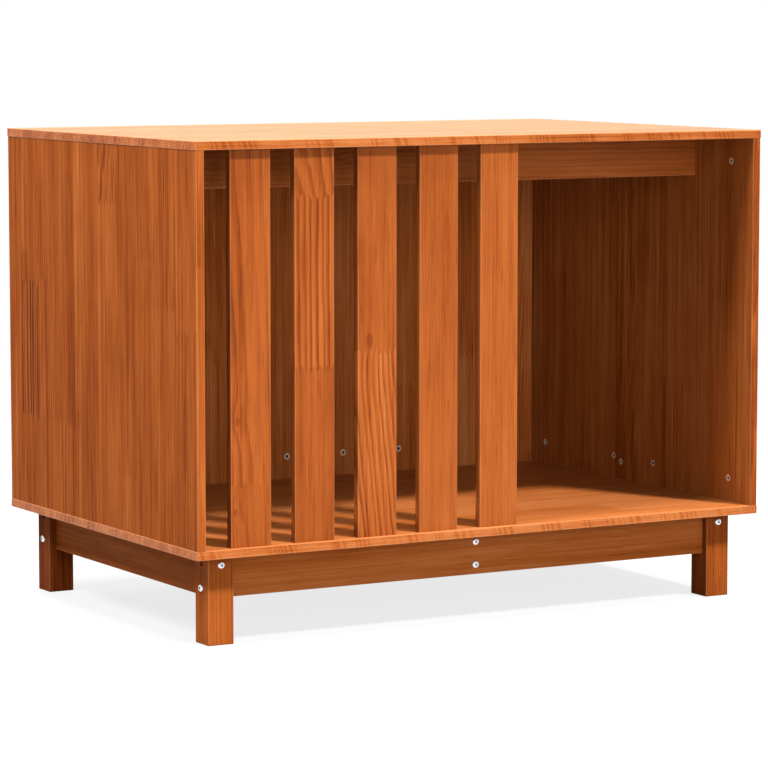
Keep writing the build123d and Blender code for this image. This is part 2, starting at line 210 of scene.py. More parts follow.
PITH_ACROSS = (-150, 150)
PITH_DEPTH = (12, 120)
LEAN_ACROSS = (-0.03, 0.03)
LEAN_DEPTH = (-0.05, 0.05)
RING_SPACING = (2.8, 6.6)
RING_STRENGTH = (0.10, 0.75)
TONE_SHIFT = (-0.07, 0.07)

# How a seam fades: from and to what distance, in millimetres, and from and to how dark

END_SEAM = (0.1, 0.9, 0.8, 0.0)
SIDE_SEAM = (0.05, 0.6, 0.5, 0.0)
PATCH_SEAM = (0.1, 0.9, 0.6, 0.0)

# Marks on a board's edges, in millimetres: where an edge face ends, how the rings bow,
# how far apart they are, and how wide their bundles and their drift are

EDGE_FACE = (0.3, 0.9, 1.0, 0.0)
BOW_CENTRE = 9.0
BOW = 0.018
MARK_SPACING = 8.6
BUNDLE_SIZE = 38.0
DRIFT_SIZE = 60.0
DRIFT = 5.0

# How much further away the rubbed edge, with its painted highlight, of an end is that stands against another
# piece

HIDDEN_END = 50.0


# Node trees


def sign(operation, turned=False):
    """What a sign between two values does: it adds a node to their sheet."""

    def reckon(value, other=None):
        pair = (other, value) if turned else (value, other)
        return value.sheet.math(operation, *pair)

    return reckon


class Value:
    """An output of a node to reckon with, by signs that add nodes to its sheet."""

    def __init__(self, sheet, socket):
        self.sheet = sheet
        self.socket = socket

    __add__ = sign("ADD")
    __radd__ = sign("ADD", True)
    __sub__ = sign("SUBTRACT")
    __rsub__ = sign("SUBTRACT", True)
    __mul__ = sign("MULTIPLY")
    __truediv__ = sign("DIVIDE")
    __abs__ = sign("ABSOLUTE")
    floor = sign("FLOOR")

    def ramp(self, low, high, to_low=0.0, to_high=1.0, kind="SMOOTHSTEP"):
        """The value's way from low to high, as a way from to_low to to_high."""
        values = dict(enumerate((self, low, high, to_low, to_high)))
        return self.sheet.value("ShaderNodeMapRange", values, interpolation_type=kind)

    def spread(self, low, high):
        """A share from 0 to 1, evenly drawn out to run from low to high."""
        return self.ramp(0, 1, low, high, "LINEAR")

    def wave(self):
        """Smooth noise along the line of this value."""
        values = {"W": self, "Scale": 1.0, "Detail": 1.0}
        return self.sheet.value("ShaderNodeTexNoise", values, "Fac", noise_dimensions="1D")

    def draw(self):
        """A share drawn by lot, which stays the same for the same value."""
        return self.sheet.value("ShaderNodeTexWhiteNoise", {"W": self}, "Value", noise_dimensions="1D")

    def parts(self):
        return self.sheet.outputs("ShaderNodeSeparateXYZ", {0: self}).values()


class Sheet:
    """A node tree that is filled in node by node. Every input takes a number or a value."""

    def __init__(self, tree):
        self.tree = tree
        self.made = 0

    def add(self, kind, values=None, **settings):
        """A node with its settings, and with its inputs given by name or by place."""
        node = self.tree.nodes.new(kind)
        for name, value in settings.items():
            setattr(node, name, value)
        node.location = (200 * (self.made // 5), -220 * (self.made % 5))
        self.made += 1
        self.feed(node, values or {})
        return node

    def feed(self, node, values):
        for key, value in values.items():
            if isinstance(value, Value):
                self.tree.links.new(value.socket, node.inputs[key])
            elif value is not None:
                node.inputs[key].default_value = value

    def value(self, kind, values=None, out=0, **settings):
        """One output of a new node."""
        return Value(self, self.add(kind, values, **settings).outputs[out])

    def outputs(self, kind, values=None, **settings):
        """The named outputs of a new node."""
        node = self.add(kind, values, **settings)
        return {socket.name: Value(self, socket) for socket in node.outputs if socket.name}

    def math(self, operation, *values):
        return self.value("ShaderNodeMath", dict(enumerate(values)), operation=operation)

    def least(self, *values):
        return reduce(lambda first, second: self.math("MINIMUM", first, second), values)

    def most(self, *values):
        return reduce(lambda first, second: self.math("MAXIMUM", first, second), values)

    def distance(self, first, second):
        """The longest side of a right triangle with these two."""
        return self.math("SQRT", first * first + second * second)

    def vector(self, operation, *values):
        places = (0, 3) if operation == "SCALE" else (0, 1, 2)
        return self.value("ShaderNodeVectorMath", dict(zip(places, values)), operation=operation)

    def joined(self, x, y, z):
        return self.value("ShaderNodeCombineXYZ", {0: x, 1: y, 2: z})

    def mixed(self, factor, first, second, kind="RGBA"):
        one, two, out = {"RGBA": (6, 7, 2), "VECTOR": (4, 5, 1), "FLOAT": (2, 3, 0)}[kind]
        values = {0: factor, one: first, two: second}
        return self.value("ShaderNodeMix", values, out, data_type=kind, clamp_factor=True)

    def noise(self, place, scale, detail, roughness=0.5, out="Fac"):
        """Smooth noise in space."""
        values = {"Vector": place, "Scale": scale, "Detail": detail, "Roughness": roughness}
        return self.value("ShaderNodeTexNoise", values, out)

    def place_in_mm(self):
        """The place on the object, in millimetres."""
        return self.vector("SCALE", self.value("ShaderNodeTexCoord", out="Object"), 1 / MM)

    def group(self, name, make, values, *given):
        """The outputs of the node group of that name, which is made when it is first asked for."""
        tree = bpy.data.node_groups.get(name) or make(name, *given)
        return self.outputs("ShaderNodeGroup", values, node_tree=tree)

    def bump(self, shader, height, strength, distance):
        values = {"Strength": strength, "Distance": distance, "Height": height}
        self.feed(shader, {"Normal": self.value("ShaderNodeBump", values)})


def new_group(name, given, results, kind="ShaderNodeTree"):
    """An empty node group, with the names of its inputs and outputs listed by their kinds."""
    tree = bpy.data.node_groups.new(name, kind)
    for in_out, sockets in (("INPUT", given), ("OUTPUT", results)):
        for socket_kind, labels in sockets.items():
            for label in labels:
                tree.interface.new_socket(
                    name=label, in_out=in_out, socket_type="NodeSocket" + socket_kind
                )
    sheet = Sheet(tree)
    return tree, sheet, sheet.outputs("NodeGroupInput"), sheet.add("NodeGroupOutput")


def arris_group(name):
    """How far a point on a box is from the nearest edge, and from the faces on each axis."""
    tree, sheet, given, end = new_group(
        name, {"Vector": ("Point", "Middle", "Half size")}, {"Float": ("Distance",), "Vector": ("Faces",)}
    )
    offset = sheet.vector("ABSOLUTE", sheet.vector("SUBTRACT", given["Point"], given["Middle"]))
    faces = sheet.vector("SUBTRACT", given["Half size"], offset)
    x, y, z = faces.parts()
    # The least gap is to the face that the point is on, and the middle one to the nearest edge
    middle = x + y + z - sheet.least(x, y, z) - sheet.most(x, y, z)
    sheet.feed(end, {"Distance": middle, "Faces": faces})
    return tree


def late_wood(season, start, full, fade):
    """The dark part of a year's growth, which comes slowly and ends fast."""
    return season.ramp(start, full) * season.ramp(fade, 1.0, 1.0, 0.0)


def edge_marks_group(name):
    """Bundles of short bowed rings on the narrow faces of a board."""
    labels = ("Along", "Across", "Depth", "To end face", "To side face", "Seed")
    tree, sheet, given, end = new_group(name, {"Float": labels}, {"Float": ("Marks",)})
    along, across, depth, to_end, to_side, seed = (given[label] for label in labels)
    at_end, at_side = to_end.ramp(*EDGE_FACE), to_side.ramp(*EDGE_FACE)
    level = depth + BOW_CENTRE
    bowed = sheet.mixed(at_end, along, across, "FLOAT") + level * level * BOW
    bundle = (bowed / BUNDLE_SIZE + seed).wave().ramp(0.42, 0.60)
    drift = (bowed / DRIFT_SIZE + seed + 5.3).wave() * DRIFT
    late = late_wood(sheet.math("FRACT", bowed / MARK_SPACING + drift), 0.05, 0.6, 0.7)
    sheet.feed(end, {"Marks": late * bundle * sheet.most(at_end, at_side)})
    return tree


def fingered(sheet, along, across, pitch, length):
    """The way along the grain, moved to and fro by the fingers of a joint."""
    tooth = sheet.math("PINGPONG", across, pitch * 0.5) / (pitch * 0.5)
    return along + (tooth - 0.5) * length


def glued_staves_group(name):
    """Staves glued side by side, each of blocks with finger joints, and what grows in each block."""
    sizes = ("Stave width", "Block length", "Finger pitch", "Finger length")
    labels = ("Along", "Across", "Seed", *sizes, "Contrast", "Tone")
    tree, sheet, given, end = new_group(
        name, {"Float": labels}, {"Vector": ("Pith", "Lean"), "Float": ("Tone", "Seam")}
    )
    along, across, seed, width, length, *fingers, contrast, tone = (given[label] for label in labels)
    shifted = across / width + seed * 0.37
    stave = shifted.floor()
    inside = shifted - stave
    first = (stave + seed * 17.7).draw()
    row = fingered(sheet, along, across, *fingers) / length + first * 5.0
    block = row.floor()
    within = row - block
    draws = []
    for shift in (0.0, 7.7, 13.3):
        place = sheet.vector("ADD", sheet.joined(stave, block, seed), (shift, shift, shift))
        values = {"Vector": place}
        draw = sheet.value("ShaderNodeTexWhiteNoise", values, "Color", noise_dimensions="3D")
        draws += draw.parts()
    middle = (stave + 0.5 - seed * 0.37) * width
    pith = sheet.joined(
        middle + draws[0].spread(*PITH_ACROSS),
        draws[1].spread(*PITH_DEPTH),
        draws[4].spread(*RING_SPACING),
    )
    strength = sheet.math("POWER", draws[5], 3.0).spread(*RING_STRENGTH) * contrast
    lean = sheet.joined(draws[2].spread(*LEAN_ACROSS), draws[3].spread(*LEAN_DEPTH), strength)
    end_gap = sheet.least(within, 1.0 - within) * length
    side_gap = sheet.least(inside, 1.0 - inside) * width
    seam = sheet.most(end_gap.ramp(*END_SEAM), side_gap.ramp(*SIDE_SEAM))
    tone += draws[6].spread(*TONE_SHIFT)
    sheet.feed(end, {"Pith": pith, "Lean": lean, "Tone": tone, "Seam": seam})
    return tree


def stain_colour(sheet, stain, finish):
    """The colour of the wood, from pale to dark as the stain rises."""
    ramp = sheet.add("ShaderNodeValToRGB", {0: stain})
    colours = (
        (0.0, finish.pale_colour),
        (0.33, finish.middle_colour),
        (0.68, finish.dark_colour),
        (1.0, finish.deep_colour),
    )
    stops = ramp.color_ramp.elements
    while len(stops) < len(colours):
        stops.new(0.5)
    for stop, (position, colour) in zip(stops, colours):
        stop.position = position
        stop.color = (*colour, 1.0)
    return Value(sheet, ramp.outputs["Color"])


def pine_figure_group(name, finish):
    """Colour, roughness and relief of stained pine: rings, fibres, knots, seams, and rubbed edges with a
    painted highlight.
    """
    labels = ("Along", "Across", "Depth", "Seed", "Tone", "Grain", "Edge distance", "Swirl")
    tree, sheet, given, end = new_group(
        name,
        {"Float": (*labels, "Seam", "Knot", "Marks"), "Vector": ("Pith", "Lean")},
        {"Color": ("Color",), "Float": ("Roughness", "Relief")},
    )
    along, across, depth, seed, tone, grain, edge_distance, swirl = (given[key] for key in labels)
    place = sheet.joined(across, depth, along)
    shift = sheet.vector("SCALE", LAYER_SHIFT, seed)

    def layer(name, out="Fac"):
        """Noise drawn out along the grain."""
        size = LAYERS[name]
        squeeze = (1 / size.across, 1 / size.across, 1 / size.along)
        spot = sheet.vector("ADD", sheet.vector("MULTIPLY", place, squeeze), shift)
        return sheet.noise(spot, 1.0, size.detail, size.roughness, out)

    def centred(name):
        return layer(name) - 0.5

    pith_across, pith_depth, spacing = given["Pith"].parts()
    lean_across, lean_depth, contrast = given["Lean"].parts()
    bend = sheet.vector("SUBTRACT", layer("bend", "Color"), (0.5, 0.5, 0.5))
    bend_across, bend_depth, _ = bend.parts()
    aside = across - pith_across + lean_across * along + bend_across * BEND
    below = depth + pith_depth + lean_depth * along + bend_depth * BEND
    radius = sheet.distance(aside, below) + centred("ripple") * RIPPLE + swirl * SWIRL
    years = radius / spacing
    years += (years * 0.43 + seed).wave() * YEAR_DRIFT
    year = years.floor()
    late = late_wood(years - year, 0.22, 0.86, 0.9)
    harvest = (year + seed * 31.0).draw()
    ring = late * contrast * harvest.spread(0.45, 1.0)

    fibre = centred("fibre")
    patchy = centred("patch").ramp(-0.2, 0.2, 0.35, 1.5, "LINEAR")
    # The pale rim along the edges is partly stain rubbed thin and partly a painted highlight, where the
    # rounded edges catch the light
    rubbed = (edge_distance + fibre * 1.6).ramp(0.3, 1.9, 1.0, 0.0) * finish.edge_wear_and_highlight
    features = {
        **given,
        "ring": ring,
        "fibre": fibre,
        "rubbed": rubbed,
        "broad": centred("broad"),
        "cloud": centred("cloud"),
        "line": abs(centred("line")).ramp(0.0, 0.05, 1.0, 0.0) * patchy,
        "dash": centred("dash").ramp(0.08, 0.22),
        "fleck": centred("fleck").ramp(0.17, 0.3),
    }

    def weighed(weights):
        return sum(features[key] * weight for key, weight in weights.items())

    streaks = centred("streak") * patchy + centred("band") * BAND_SHARE
    fibres = fibre * finish.fibre_strength + streaks * finish.streak_strength
    stain = tone + fibres * grain + weighed(STAIN)
    colour = sheet.mixed(rubbed, stain_colour(sheet, stain, finish), (*finish.worn_and_highlight_colour, 1.0))
    thrown = sheet.value("ShaderNodeLightPath", out="Is Diffuse Ray")
    colour = sheet.mixed(thrown * (1.0 - finish.bounce), colour, BLACK)
    roughness = weighed(ROUGHNESS) + finish.roughness
    sheet.feed(end, {"Color": colour, "Roughness": roughness, "Relief": weighed(RELIEF)})
    return tree


def knot_fields(sheet, along, across, knots):
    """How far the rings swirl round the knots, and how much of a knot is here."""
    swirl, body = 0.0, 0.0
    for knot in knots:
        away = sheet.distance((along - knot.along) * KNOT_STRETCH, across - knot.across)
        share = away / knot.radius
        swirl = sheet.math("EXPONENT", share * share * KNOT_PULL) + swirl
        body = sheet.most(share.ramp(0.55, 1.05, 1.0, 0.0), body)
    return swirl, body


def growth_of(block, seam):
    """What grows in a block, as the inputs of the pine figure."""
    return {
        "Pith": (block.pith_across, block.pith_depth, block.spacing),
        "Lean": (block.lean_across, block.lean_depth, block.contrast),
        "Tone": block.tone,
        "Seam": seam,
    }


def switched(sheet, share, first, second):
    """The first growth where the share is none, and the second where it is one."""
    kinds = {"Pith": "VECTOR", "Lean": "VECTOR", "Tone": "FLOAT", "Seam": "FLOAT"}
    return {key: sheet.mixed(share, first[key], second[key], kind) for key, kind in kinds.items()}


def picked_blocks(sheet, level, piece):
    """The growth of a piece's own blocks, one above the other, with the seams between them."""
    growth = growth_of(piece.blocks[0], 0.0)
    for joint, block in zip(piece.joints, piece.blocks[1:]):
        past = level - joint
        growth["Seam"] = sheet.most(abs(past).ramp(*END_SEAM), growth["Seam"])
        above = sheet.math("GREATER_THAN", past, 0.0)
        growth = switched(sheet, above, growth, growth_of(block, growth["Seam"]))
    return growth


def patched(sheet, level, across, growth, patches):
    """The growth of a panel, with some blocks of its staves given one by one."""
    for patch in patches:
        (left, right), (foot, head) = patch.across, patch.along
        nearest = sheet.least(across - left, right - across, level - foot, head - level)
        here = sheet.math("GREATER_THAN", nearest, 0.0)
        growth = switched(sheet, here, growth, growth_of(patch.block, nearest.ramp(*PATCH_SEAM)))
    return growth


def fresh_material(name):
    material = bpy.data.materials.new(name)
    material.use_nodes = True
    material.node_tree.nodes.clear()
    sheet = Sheet(material.node_tree)
    shader = sheet.add("ShaderNodeBsdfPrincipled")
    sheet.add("ShaderNodeOutputMaterial", {"Surface": Value(sheet, shader.outputs["BSDF"])})
    return material, sheet, shader


def pine_material(node_name, lie, piece, shine, staves=None, grain=1.0, marks=False, polish=0.0):
    """Stained pine for one piece: its own blocks, or staves of that share of the usual width."""
    finish = bpy.context.scene.dog_house_pine
    material, sheet, shader = fresh_material("Stained pine " + node_name.replace("_", " "))
    place = sheet.place_in_mm()
    axes = dict(zip("XYZ", place.parts()))
    low, high = (Vector(corner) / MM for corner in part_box(node_name))
    middle, half = (low + high) / 2, (high - low) / 2
    centre = dict(zip("XYZ", middle))
    if lie.along == "Z":
        # The blocks and knots of an upright piece are placed by their height above the floor
        centre["Z"] = 0.0
    along, across, depth = (axes[axis] - centre[axis] for axis in lie)
    here = {"Along": along, "Across": across, "Seed": piece.seed}
    fingers = {"pitch": finish.finger_pitch / MM, "length": finish.finger_length / MM}
    level = fingered(sheet, along, across, **fingers)

    if staves:
        given = {
            "Stave width": finish.stave_width / MM * staves,
            "Block length": finish.block_length / MM,
            "Finger pitch": fingers["pitch"],
            "Finger length": fingers["length"],
            "Contrast": finish.ring_contrast,
            "Tone": finish.tone,
        }
        growth = sheet.group("Glued staves", glued_staves_group, {**here, **given})
        growth = patched(sheet, level, across, growth, piece.patches)
    else:
        growth = picked_blocks(sheet, level, piece)
    # The piece's tone shift, partly its own tone and partly painted shade or painted light
    growth["Tone"] += TONE_AND_PAINTED_SHADE.get(node_name, 0.0)
    swirl, knot = knot_fields(sheet, along, across, piece.knots)

    if not marks:
        # Its ends stand against other pieces, which keeps the rubbed edge and its painted highlight off them
        half["XYZ".index(lie.along)] += HIDDEN_END
    given = {"Point": place, "Middle": middle, "Half size": half}
    edge = sheet.group("Distance to an edge", arris_group, given)
    here["Depth"] = depth
    mark = 0.0
    if marks:
        faces = dict(zip("XYZ", edge["Faces"].parts()))
        gaps = {"To end face": faces[lie.along], "To side face": faces[lie.across]}
        mark = sheet.group("Edge marks", edge_marks_group, {**here, **gaps})["Marks"]
    given = {
        **here, **growth,
        "Knot": knot, "Swirl": swirl, "Marks": mark, "Grain": grain,
        "Edge distance": edge["Distance"],
    }
    figure = sheet.group("Pine figure", pine_figure_group, given, finish)
    sheet.feed(shader, {
        "Base Color": figure["Color"],
        "Roughness": figure["Roughness"] - polish,
        "Specular IOR Level": shine,
    })
    sheet.bump(shader, figure["Relief"], 0.5, finish.relief)
    return material


def finish_node(node_name, material):
    """Gives a CAD node its material."""
    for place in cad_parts[node_name].material_slots:
        place.material = material


# Metal and dowel wood


def metal_material(name, colour, recess_shade_colour, roughness, metallic=1.0):
    """Metal with fine scratches and a dull bloom, and a darker colour painted in its recess as shade."""
    material, sheet, shader = fresh_material(name)
    place = sheet.place_in_mm()
    scratch = sheet.noise(place, 3.0, 4.0, 0.7)
    tarnish = sheet.noise(place, 0.35, 2.0).ramp(0.35, 0.75) * 0.35
    recess = sheet.value("ShaderNodeAttribute", out="Fac", attribute_name="recess")
    dull = [0.72 * part for part in colour]
    plain = sheet.mixed(tarnish, (*colour, 1.0), (*dull, 1.0))
    sheet.feed(shader, {
        # The recess colour is painted shade in the driver's recess and in the cam lock's well
        "Base Color": sheet.mixed(recess, plain, (*recess_shade_colour, 1.0)),
        "Roughness": (scratch - 0.5) * 0.3 + roughness,
        "Metallic": metallic,
    })
    sheet.bump(shader, scratch, 0.25, 0.05 * MM)
    return material


def dowel_material():
    """Pale beech with short flecks."""
    material, sheet, shader = fresh_material("Beech dowels")
    place = sheet.place_in_mm()
    grain = sheet.noise(place, 0.9, 4.0, 0.6)
    cells = {"Vector": place, "Scale": 1.4, "Randomness": 1.0}
    fleck = sheet.value("ShaderNodeTexVoronoi", cells, "Distance").ramp(0.05, 0.25, 0.5, 0.0)
    shade = sheet.mixed(grain, (0.60, 0.40, 0.22, 1.0), (0.42, 0.25, 0.12, 1.0))
    shade = sheet.mixed(fleck, shade, (0.24, 0.13, 0.06, 1.0))
    sheet.feed(shader, {"Base Color": shade, "Roughness": grain * 0.2 + 0.55})
    sheet.bump(shader, grain, 0.4, 0.1 * MM)
    return material


# Turned fittings, made by geometry nodes

# A ring of a turned outline: its radius and height as sums of named sizes, and
# whether it follows the driver's recess instead of a circle

Ring = namedtuple("Ring", "radius height shaped", defaults=(False,))

SHARP_ANGLE = math.radians(32)


def size_sum(sizes, terms):
    """A sum of named sizes, each times a factor, and of a plain length that has no name."""
    return sum(sizes[label] * factor if label else factor for label, factor in terms.items())


def hexagon_outline(sheet, angle, radius):
    """Distance to a hexagon with that radius to its flats."""
    sector = math.radians(60)
    turned = sheet.math("FLOORED_MODULO", angle, sector) - sector / 2
    return radius / sheet.math("COSINE", turned)


def cross_outline(sheet, angle, radius, width):
    """Distance to a cross with arms of that length and width."""
    sine, cosine = (abs(sheet.math(kind, angle)) for kind in ("SINE", "COSINE"))
    side = sheet.most(sheet.least(sine, cosine), 0.001)
    return sheet.least(radius, width * 0.5 / side)


def turned_tree(name, sizes, rings, columns, first_recess_ring):
    """A tree that turns an outline about Z and puts it on every point, along the point's axis.

    The recess is a cross where the sizes name its width, and else a hexagon.
    """
    tree, sheet, start, end = new_group(
        name,
        {"Geometry": ("Geometry",), "Float": tuple(sizes), "Material": ("Material",), "Int": ("Seed",)},
        {"Geometry": ("Geometry",)},
        "GeometryNodeTree",
    )
    counts = {"Vertices X": columns + 1, "Vertices Y": len(rings)}
    grid = sheet.value("GeometryNodeMeshGrid", {"Size X": 1.0, "Size Y": 1.0, **counts})
    u, v, _ = sheet.value("GeometryNodeInputPosition").parts()
    angle = (u + 0.5) * math.tau
    index = sheet.math("ROUND", (v + 0.5) * (len(rings) - 1.0))
    pick = sheet.add("GeometryNodeIndexSwitch", data_type="VECTOR")
    while len(pick.index_switch_items) < len(rings):
        pick.index_switch_items.new()
    picked = [index]
    for ring in rings:
        radius, height = (size_sum(start, terms) for terms in (ring.radius, ring.height))
        picked.append(sheet.joined(radius, height, float(ring.shaped)))
    sheet.feed(pick, dict(enumerate(picked)))
    radius, height, shaped = Value(sheet, pick.outputs[0]).parts()
    if "Recess width" in start:
        cut = cross_outline(sheet, angle, radius, start["Recess width"])
    else:
        cut = hexagon_outline(sheet, angle, radius)
    radius = sheet.mixed(shaped, radius, cut, "FLOAT")
    sine, cosine = (sheet.math(kind, angle) for kind in ("SINE", "COSINE"))
    place = sheet.joined(radius * cosine, radius * sine, height)
    # The recess is marked on the flat grid, as its rows can't be told apart once they have moved
    inner = sheet.math("GREATER_THAN", index, first_recess_ring - 0.5)
    body = grid
    for kind, values, settings in (
        ("StoreNamedAttribute", {"Name": "recess", "Value": inner}, {"data_type": "FLOAT"}),
        ("SetPosition", {"Position": place}, {}),
        ("MergeByDistance", {"Distance": 1e-6}, {}),
    ):
        values["Geometry"] = body
        body = sheet.value("GeometryNode" + kind, values, **settings)
    named = {"data_type": "FLOAT_VECTOR"}
    axis = sheet.value("GeometryNodeInputNamedAttribute", {"Name": "axis"}, **named)
    aim = sheet.value("FunctionNodeAlignRotationToVector", {"Vector": axis}, axis="Z")
    reach = {"Max": (0.0, 0.0, math.tau), "Seed": start["Seed"]}
    spin = sheet.value("FunctionNodeRandomValue", reach, **named)
    turn = sheet.value("FunctionNodeEulerToRotation", {0: spin})
    aim = sheet.value("FunctionNodeRotateRotation", {0: aim, 1: turn}, rotation_space="LOCAL")
    values = {"Points": start["Geometry"], "Instance": body, "Rotation": aim}
    placed = sheet.value("GeometryNodeInstanceOnPoints", values)
    real = sheet.value("GeometryNodeRealizeInstances", {0: placed})
    values = {"Geometry": real, "Material": start["Material"]}
    sheet.feed(end, {"Geometry": sheet.value("GeometryNodeSetMaterial", values)})
    return tree


def solids_of(node_name):
    """The boxes of the separate solids in a CAD node, lowest and highest corner, in metres."""
    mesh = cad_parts[node_name].data
    places = np.empty(len(mesh.vertices) * 3)
    mesh.vertices.foreach_get("co", places)
    places = places.reshape(-1, 3)
    mesh.calc_loop_triangles()
    corners = np.empty(len(mesh.loop_triangles) * 3, np.int64)
    mesh.loop_triangles.foreach_get("vertices", corners)
    _, shared = np.unique(np.round(places / 1e-6).astype(np.int64), axis=0, return_inverse=True)
    shared = shared.reshape(-1)
    triangles = shared[corners].reshape(-1, 3)
    label = np.arange(triangles.max() + 1)
    while True:
        lowest = label[triangles].min(axis=1)
        renewed = label.copy()
        for column in range(3):
            np.minimum.at(renewed, triangles[:, column], lowest)
        renewed = renewed[renewed]
        if np.array_equal(renewed, label):
            break
        label = renewed
    owner = label[shared]
    solids = (places[owner == one] for one in np.unique(owner))
    boxes = [(solid.min(axis=0), solid.max(axis=0)) for solid in solids]
    return sorted(boxes, key=lambda box: tuple(np.round(box[0], 5)))


def length_of(node_name, pick=max):
    """The longest, or else the picked, side of a CAD node's first solid, in metres."""
    low, high = solids_of(node_name)[0]
    return float(pick(high - low))


def seats_of(node_name, pick, way_out, head=0.0):
    """Where each fitting of a CAD node sits, and the axis that its head faces along.

    pick finds the axis among the sides of its box. The way out is 1 where it faces away from
    the middle of the house, and else -1. The head is what stands out from its seat.
    """
    seats = []
    for low, high in solids_of(node_name):
        middle, span = (low + high) / 2, high - low
        axis = int(pick(span))
        way = np.zeros(3)
        way[axis] = math.copysign(way_out, way_out * middle[axis])
        seats.append((middle + way * (span[axis] / 2 - head), way))
    return seats


def set_on_seats(name, tree, seats, values):
    """A plain mesh of a tree's fittings, one on each seat."""
    mesh = bpy.data.meshes.new(name)
    mesh.from_pydata([tuple(point) for point, _ in seats], [], [])
    attribute = mesh.attributes.new("axis", "FLOAT_VECTOR", "POINT")
    attribute.data.foreach_set("vector", np.array([axis for _, axis in seats]).ravel())
    piece = bpy.data.objects.new(name, mesh)
    bpy.context.collection.objects.link(piece)
    modifier = piece.modifiers.new("Fittings", "NODES")
    modifier.node_group = tree
    for item in tree.interface.items_tree:
        if item.in_out == "INPUT" and item.name in values:
            modifier[item.identifier] = values[item.name]
    graph = bpy.context.evaluated_depsgraph_get()
    made = bpy.data.meshes.new_from_object(piece.evaluated_get(graph), depsgraph=graph)
    if not made.polygons:
        raise RuntimeError(name + " came out empty")
    piece.modifiers.clear()
    piece.data = made
    made.name = name
    bpy.data.meshes.remove(mesh)
    made.polygons.foreach_set("use_smooth", [True] * len(made.polygons))
    made.set_sharp_from_angle(angle=SHARP_ANGLE)
    return piece


def stand_for(piece, node_name):
    """The piece rides with the house and stands for a CAD node."""
    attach(piece, "root")
    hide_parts(node_name)


# What a user may change


def colour(name, description, *default):
    return FloatVectorProperty(
        name=name, description=description, subtype="COLOR", size=3, min=0, max=1, default=default
    )


def strength(name, description, high, default):
    return FloatProperty(name=name, description=description, min=0, max=high, default=default)


def share(name, description, default):
    return FloatProperty(
        name=name, description=description, subtype="FACTOR", min=0, max=1, default=default
    )


def length(name, description, low, high, default):
    return FloatProperty(
        name=name, description=description, unit="LENGTH", min=low, max=high, default=default
    )


def angle(name, description, degrees):
    return FloatProperty(
        name=name, description=description, subtype="ANGLE", unit="ROTATION",
        default=math.radians(degrees),
    )


def lamp(place, lit, default):
    text = f"Light that the {place} lamp gives {lit}"
    return strength(place.capitalize() + " lamp", text, 5, default)


class PineFinish(bpy.types.PropertyGroup):
    """Stained pine"""

    pale_colour: colour("Pale wood", "Stained early wood at its palest", 0.72, 0.235, 0.070)
    middle_colour: colour("Middle wood", "The colour that most of the wood has", 0.555, 0.140, 0.027)
    dark_colour: colour("Dark rings", "Stained late wood", 0.350, 0.072, 0.011)
    deep_colour: colour("Knots", "The darkest wood, in knots", 0.150, 0.027, 0.006)
    # The pale edge colour and its share are partly wear and partly a painted highlight on the edges
    worn_and_highlight_colour: colour("Rubbed and highlit edges", "Where the stain is rubbed thin", 0.86, 0.40, 0.19)
    edge_wear_and_highlight: share("Edge wear and highlight", "How much of the stain is rubbed off the edges", 0.25)
    fibre_strength: strength("Fibre", "How dark the fine fibres are", 2, 0.45)
    streak_strength: strength("Streaks", "How dark the long streaks are", 3, 0.80)
    ring_contrast: strength("Ring contrast", "How dark the rings of boards and panels are", 2, 0.8)
    tone: strength("Tone", "Middle tone of the boards and panels", 1, 0.34)
    stave_width: length("Stave width", "Width of the staves in the boards and panels", 0.01, 0.3, 0.059)
    block_length: length("Block length", "Length of wood between two finger joints", 0.05, 2, 0.46)
    finger_pitch: length("Finger pitch", "Distance between two fingers of a joint", 0.001, 0.02, 0.0095)
    finger_length: length("Finger length", "Length of the fingers of a joint", 0, 0.03, 0.009)
    roughness: share("Roughness", "Roughness of the finish", 0.42)
    relief: length("Relief", "How deep the grain can be felt", 0, 0.002, 0.00025)
    bounce: share("Bounce", "How much of its light the wood passes on to other wood", 0.22)
    board_shine: share("Shine of boards", "How much the top and bottom boards reflect", 0.10)
    panel_shine: share("Shine of panels", "How much the panels and the leg frame reflect", 0.01)
    slat_shine: share("Shine of slats", "How much the slats and the rail reflect", 0.12)


